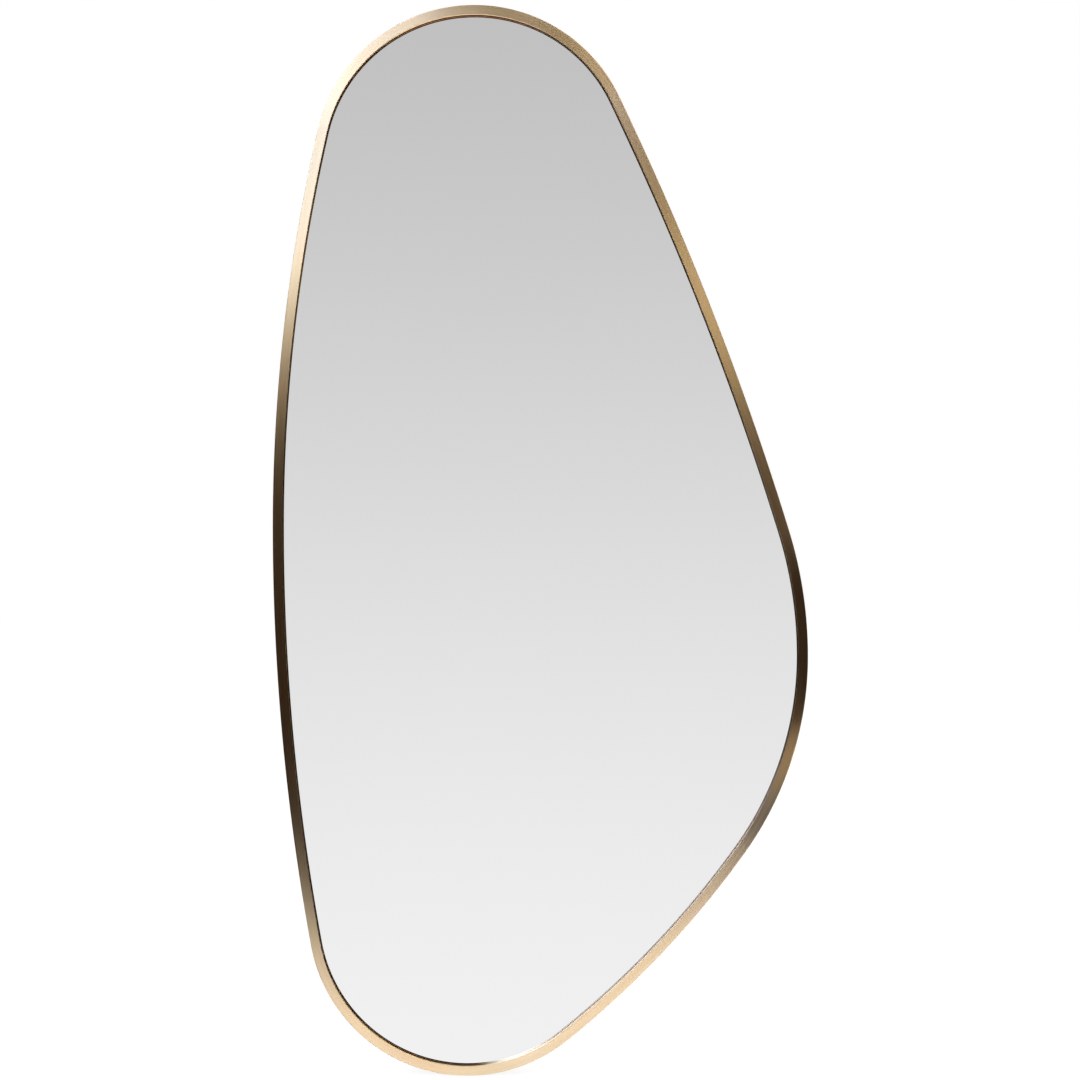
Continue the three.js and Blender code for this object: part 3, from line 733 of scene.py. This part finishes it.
@cache
def screw_shape(through):
    """A pan head screw along Y, its head towards +Y on the plane y = 0, with a cross recess."""
    length = through + SEAT_GAP + BOARD_BITE + SEAT_GAP
    bm = bmesh.new()
    profile = [
        (TIP_RADIUS, -length), (SHANK_RADIUS, SCREW_TIP - length), (SHANK_RADIUS, 0.0),
        (HEAD_RADIUS, 0.0), (HEAD_RADIUS, HEAD_RIM), (SHOULDER_RADIUS, SHOULDER_HEIGHT),
        (HEAD_CROWN_RADIUS, HEAD_HEIGHT),
    ]
    verts = [bm.verts.new((radius, y, 0.0)) for radius, y in profile]
    edges = [bm.edges.new(pair) for pair in zip(verts, verts[1:])]
    lathe(bm, verts + edges, SCREW_SEGMENTS)
    tip = [e for e in bm.edges if e.is_boundary and e.verts[0].co.y < -length / 2]
    bmesh.ops.edgeloop_fill(bm, edges=tip)
    bmesh.ops.bevel(bm, geom=[e for e in bm.edges if on_head_rim(e)], offset=HEAD_RIM_ROUNDING,
                    segments=3, profile=0.5, affect="EDGES", material=-1)

    # the recess: a cross drawn on the crown, joined to its rim and sunk with a taper
    arm, half = RECESS_ARM, RECESS_HALF
    cross = [(arm, half), (half, half), (half, arm), (-half, arm), (-half, half), (-arm, half),
             (-arm, -half), (-half, -half), (-half, -arm), (half, -arm), (half, -half),
             (arm, -half)]
    rim = [e for e in bm.edges if e.is_boundary]
    mouth = loop_of(bm, [(x, HEAD_HEIGHT, z) for x, z in cross])
    fill(bm, rim + mouth)
    bmesh.ops.delete(bm, geom=[f for f in bm.faces if in_recess(f)], context="FACES_ONLY")
    floor_rim = drawn(bm, mouth, (0, -RECESS_DEPTH, 0))
    bmesh.ops.scale(bm, verts=list({v for e in floor_rim for v in e.verts}),
                    vec=(RECESS_TAPER, 1.0, RECESS_TAPER))
    fill(bm, floor_rim)
    return bm


def screw(name, node, x, z, through, turn):
    """A screw through a thickness and into the board, its recess turned as it stopped."""
    seat = ON_BOARD_Y + through + SEAT_GAP
    matrix = Matrix.Translation((x, seat, z)) @ Matrix.Rotation(math.radians(turn), 4, "Y")
    finish(placed(screw_shape(through), matrix), name, "mirror", [node],
           [SCREW], sharp_angle=28.0)


# ---------------------------------------------------------------- retaining clips

def clip_shape():
    """A flat clip along -Z from its square tip at the origin, with a hole for its screw."""
    half, corner = CLIP_WIDTH / 2, CLIP_CORNER_CUT
    bm = plate([(half, -corner), (half - corner, 0), (corner - half, 0), (-half, -corner)],
               CLIP_WIDTH, CLIP_LENGTH, [CLIP_SCREW_FROM_TIP], CLIP_THICKNESS, CLIP_END_STEPS)
    soften(bm, SMALL_EDGE_RADIUS, SHARP_ON_SHEET)
    return bm


def retaining_clips():
    """Ten clips, square to the outline at equal distances, each with its screw."""
    shape = clip_shape()
    tip_sag = CLIP_WIDTH ** 2 / (8 * min(TOP_RADIUS, BOTTOM_RADIUS))
    tip_inset = METAL + CLIP_TIP_ROOM + tip_sag
    for i in range(CLIP_COUNT):
        arc, angle = along((i + 0.5) * PERIMETER / CLIP_COUNT)
        x, z = arc.point(angle, tip_inset)
        matrix = Matrix.Translation((x, 0, z)) @ Matrix.Rotation(angle, 4, "Y")
        finish(placed(shape, matrix), f"spring_clip_{i + 1}", "mirror",
               [f"retaining_clip_{i + 1}"], [ZINC])
        x, z = arc.point(angle, tip_inset + CLIP_SCREW_FROM_TIP)
        screw(f"spring_clip_screw_{i + 1}", f"clip_screw_{i + 1}", x, z, CLIP_THICKNESS,
              turn=CLIP_SCREW_TURN * i)
    shape.free()


# ---------------------------------------------------------------- hangers

def strap_shape():
    """A strap of sheet steel with two holes, rolled at its top round the ring's bar."""
    half = STRAP_WIDTH / 2
    bm = plate([(half, 0), (-half, 0)], STRAP_WIDTH, STRAP_LENGTH, STRAP_SCREW_DROPS.values(),
               STRAP_THICKNESS, STRAP_END_STEPS)
    end = [f for f in bm.faces if all(near(v.co.z, 0) for v in f.verts)]
    rim = [e for f in end for e in f.edges]
    bmesh.ops.delete(bm, geom=end, context="FACES_ONLY")
    curl = spin(bm, rim_geom(rim), (0, PIVOT_Y, 0), (1, 0, 0),
                -math.radians(STRAP_ROLL_ANGLE), STRAP_ROLL_STEPS)
    bmesh.ops.edgeloop_fill(bm, edges=only_edges(curl))
    soften(bm, SMALL_EDGE_RADIUS, SHARP_ON_SHEET)
    return bm


def ring_shape():
    """A D-ring of round wire, its bar through the origin, its ends meeting in the middle."""
    corner_x, corner_z = RING_HALF - RING_CORNER, -RING_CORNER
    bar = (corner_x - RING_BUTT, 0, 0)
    bm = bmesh.new()
    bmesh.ops.create_circle(
        bm, segments=WIRE_SEGMENTS, radius=WIRE_RADIUS, cap_ends=False,
        matrix=Matrix.Translation((RING_BUTT, 0, 0)) @ QUARTER_TURN_Y)
    first = loop = list(bm.edges)

    def bend(edges, x, z, angle, steps):
        """Bends the wire on from a loop of edges, round a centre."""
        return only_edges(spin(bm, rim_geom(edges), (x, 0, z), (0, 1, 0), angle, steps))

    loop = drawn(bm, loop, bar)
    loop = bend(loop, corner_x, corner_z, math.pi / 2, RING_CORNER_STEPS)
    loop = drawn(bm, loop, (0, 0, -RING_LEG))
    loop = bend(loop, 0, corner_z - RING_LEG, math.pi, RING_BOW_STEPS)
    loop = drawn(bm, loop, (0, 0, RING_LEG))
    loop = bend(loop, -corner_x, corner_z, math.pi / 2, RING_CORNER_STEPS)
    loop = drawn(bm, loop, bar)
    for edges in (first, loop):
        bmesh.ops.edgeloop_fill(bm, edges=edges)
    soften(bm, SMALL_EDGE_RADIUS, SHARP_ON_WIRE)
    return bm


def hangers():
    """The two hangers: a strap, a ring that swings in it and two screws each."""
    strap, ring = strap_shape(), ring_shape()
    for side, x in HANGER_X.items():
        finish(placed(strap, Matrix.Translation((x, 0, PIVOT_Z))), f"{side}_rolled_strap",
               "mirror", [f"{side}_hanger_strap"], [ZINC])
        finish(placed(ring, Matrix.Translation((x, PIVOT_Y, PIVOT_Z))), f"{side}_wire_ring",
               f"{side}_ring", [f"{side}_d_ring"], [ZINC])
        first_turn = HANGER_SCREW_TURN + (RIGHT_HANGER_TURN if side == "right" else 0.0)
        for i, (place, drop) in enumerate(STRAP_SCREW_DROPS.items()):
            screw(f"{side}_strap_screw_{place}", f"{side}_hanger_screw_{place}", x,
                  PIVOT_Z - drop, STRAP_THICKNESS, turn=first_turn + NEXT_HANGER_SCREW_TURN * i)
    strap.free()
    ring.free()


# ---------------------------------------------------------------- wall bumpers

def bumper_shape():
    """A tapered rubber foot with a well for its screw head, its base on the plane y = 0."""
    well = HEAD_RADIUS + BUMPER_HEAD_ROOM
    height = WALL_Y - ON_BOARD_Y
    bm = bmesh.new()
    edges = rounded_section(bm, [  # corner, and the radius and segments of its rounding
        ((HOLE_RADIUS, 0, 0), (0.0, 1)), ((BUMPER_BASE_RADIUS, 0, 0), (0.4, 3)),
        ((BUMPER_FACE_RADIUS, height, 0), (1.0, 5)), ((well, height, 0), (0.5, 4)),
        ((well, BUMPER_FLOOR, 0), (0.4, 3)), ((HOLE_RADIUS, BUMPER_FLOOR, 0), (0.2, 2))])
    lathe(bm, list(bm.verts) + edges, BUMPER_SEGMENTS)
    return bm


def wall_bumpers():
    """Four rubber feet that keep the mirror off the wall, each with its screw."""
    shape = bumper_shape()
    for i, (place, (x, z)) in enumerate(BUMPER_PLACES.items()):
        finish(placed(shape, Matrix.Translation((x, ON_BOARD_Y, z))), f"rubber_foot_{place}",
               "mirror", [f"wall_bumper_{place}"], [FOOT])
        screw(f"rubber_foot_screw_{place}", f"bumper_screw_{place}", x, z, BUMPER_FLOOR,
              turn=BUMPER_SCREW_TURN + NEXT_BUMPER_SCREW_TURN * i)
    shape.free()


# ---------------------------------------------------------------- assembly

frame_ring()
glass_pane()
retaining_clips()
hangers()
wall_bumpers()

# the pieces that stay as the CAD has them get their own finish
KEPT_NODES = {"backing_board": BOARD, "mounting_tape": FOAM, "glass_packer": PACKER}
for node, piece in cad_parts.items():
    for start, own_finish in KEPT_NODES.items():
        if node.startswith(start):
            for slot in piece.material_slots:
                slot.material = own_finish


# ---------------------------------------------------------------- studio

FACE_TO_CAMERA = 1.5
CAMERA_RIGHT, CAMERA_UP = -0.0004, 0.0003
FRAME_AT_FACE = 1.2099  # how much of the plane of the frame's face the picture spans
SENSOR = 36.0


def front_camera():
    """The camera straight in front of the mirror, as in the photo."""
    data = bpy.data.cameras.new("camera")
    data.sensor_width = SENSOR
    data.lens = SENSOR * FACE_TO_CAMERA / FRAME_AT_FACE
    camera = bpy.data.objects.new("camera", data)
    bpy.context.scene.collection.objects.link(camera)
    camera.location = (CAMERA_RIGHT, FRONT_Y * MM - FACE_TO_CAMERA, CAMERA_UP)
    camera.rotation_euler = (math.pi / 2, 0.0, 0.0)
    bpy.context.scene.camera = camera


# What stands round the mirror: degrees to the right from and to, degrees up from and to, how
# soft the sides and the ends are, and the light it gives.
STUDIO_LIGHTS = {
    "floor_near": (-24, 19.1, -33.7, -16.6, 4.1, 4.1, (2.14, 2.43, 2.76)),
    "floor_left": (-95, -3.5, -95, -21.1, 15.2, 4.2, (0.54, 0.58, 0.72)),
    "floor_right": (26.1, 95, -95, -35.1, 4.9, 4.9, (1.78, 1.63, 1.40)),
    "floor_below": (-17.6, 15.5, -95, -40.1, 4.6, 4.7, (0.77, 0.81, 0.84)),
    "left_box": (-43.6, -6.4, 12, 38.3, 4.1, 4.1, (2.21, 2.98, 4.57)),
    "upper_left": (-95, -31, 26, 95, 4.2, 6, (1.64, 1.57, 2.00)),
    "ceiling": (-11.2, -0.8, 54.3, 95, 5, 6.2, (0.98, 0.95, 0.90)),
    "upper_right": (18.9, 47.2, 27.6, 95, 6.3, 4.2, (2.12, 2.01, 1.53)),
    "right_box": (43.5, 68, 11.4, 47.6, 11.2, 13.8, (1.38, 1.28, 1.16)),
    "small_lamp": (-6.6, 13.5, 7, 11.1, 7.5, 4.1, (2.92, 2.87, 2.27)),
    "side_lamp": (39, 49.7, -20.6, -15.4, 2.3, 2, (8.91, 8.46, 6.81)),
}
DIM = (0.030, 0.023, 0.018)
EDGE_OF_FRONT = 95  # degrees to either side; a light that reaches it has no edge there
FADE_BEFORE, FADE_AFTER = 12, 6  # the grey room behind comes in over these degrees
REAR_LOW, REAR_HIGH = -35.0, 50.0
REAR_FLOOR, REAR_CEILING = (0.42, 0.42, 0.41, 1), (0.95, 0.95, 0.94, 1)
WHITE = (1, 1, 1, 1)

# the pale slope in the glass: degrees up at its ends and how bright it is there
SLOPE_LOW, SLOPE_HIGH, SLOPE_LOW_LIGHT, SLOPE_HIGH_LIGHT = -28.0, 32.0, 1.03, 0.57
FLOOR_RADIUS, FLOOR_GLOW, FLOOR_GLOW_SHARE = 9.0, 1.06, 0.82


def soft_box(side, up, left, right, low, high, soft_side, soft_end):
    """How much of one of the lights there is in a direction."""
    edges = []
    for angle, start, end, soft in (
            (side, left, right, soft_side / 2), (up, low, high, soft_end / 2)):
        if start > -EDGE_OF_FRONT:
            edges.append(angle.step(start - soft, start + soft))
        if end < EDGE_OF_FRONT:
            edges.append(angle.step(end - soft, end + soft, 1.0, 0.0))
    return math.prod(edges[1:], start=edges[0])


def studio_world():
    """White for the camera, a pale slope of light for the glass, soft boxes for the rest."""
    world = bpy.data.worlds.new("studio")
    world.use_nodes = True
    bpy.context.scene.world = world
    g = Graph(world.node_tree)
    x, y, z = g.parts(g.add("TexCoord", output="Generated"))
    up = z.math("ARCSINE", z) * (180 / math.pi)
    side = x.math("ARCTAN2", x, 0 - y) * (180 / math.pi)
    front = DIM
    for *box, light in STUDIO_LIGHTS.values():
        front = g.add("VectorMath", {"operation": "MULTIPLY_ADD"},
                      {0: soft_box(side, up, *box), 1: light, 2: front})
    rear = g.blend(up.step(REAR_LOW, REAR_HIGH), REAR_FLOOR, REAR_CEILING)
    behind = side.absolute().step(EDGE_OF_FRONT - FADE_BEFORE, EDGE_OF_FRONT + FADE_AFTER)
    studio = g.blend(behind, front, rear)
    slope = up.step(SLOPE_LOW, SLOPE_HIGH, SLOPE_LOW_LIGHT, SLOPE_HIGH_LIGHT)
    singular, bounces, seen = g.rays("Is Singular Ray", "Glossy Depth", "Is Camera Ray")
    first_mirrored = singular * bounces.step(1.2, 1.8, 1.0, 0.0)
    studio = g.blend(first_mirrored, studio, slope)
    studio = g.blend(seen, studio, WHITE)
    g.close(g.add("Background", None, {"Color": studio}), "OutputWorld")


def studio_floor():
    """A pale floor under the mirror that takes its shadow and stays out of the reflections."""
    bm = bmesh.new()
    bmesh.ops.create_circle(bm, cap_ends=True, segments=96, radius=FLOOR_RADIUS)
    bmesh.ops.translate(bm, verts=list(bm.verts), vec=(0, 0, -HEIGHT * MM / 2))
    mesh = bpy.data.meshes.new("studio_floor")
    bm.to_mesh(mesh)
    bm.free()
    made, g = material("studio_floor")
    speck = g.noise(g.place(), 40.0)
    colour = g.blend(speck, (0.90, 0.90, 0.90, 1), (0.93, 0.93, 0.93, 1))
    lit = g.add("BsdfDiffuse", None, {"Color": colour})
    glow = g.add("Emission", None, {"Color": WHITE, "Strength": FLOOR_GLOW})
    seen, mirrored, through = g.rays("Is Camera Ray", "Is Glossy Ray", "Is Transmission Ray")
    g.close(g.add("MixShader", None,
                  {0: seen.most(mirrored).most(through) * FLOOR_GLOW_SHARE, 1: lit, 2: glow}))
    mesh.materials.append(made)
    piece = bpy.data.objects.new("studio_floor", mesh)
    bpy.context.scene.collection.objects.link(piece)
    piece.visible_glossy = False


def lamp(name, place, size, watts):
    """A round, soft lamp that points at the mirror's middle."""
    data = bpy.data.lights.new(name, "AREA")
    data.shape, data.size, data.energy = "DISK", size, watts
    made = bpy.data.objects.new(name, data)
    bpy.context.scene.collection.objects.link(made)
    made.location = place
    made.rotation_euler = Vector(place).to_track_quat("Z", "Y").to_euler()
    made.visible_glossy = False
    made.visible_camera = False


front_camera()
studio_world()
studio_floor()
lamp("front_lamp", (-1.6, -2.4, 2.2), 1.6, 40.0)
lamp("back_lamp", (1.8, 2.6, 2.0), 1.8, 40.0)
bpy.context.scene.view_settings.view_transform = "Standard"
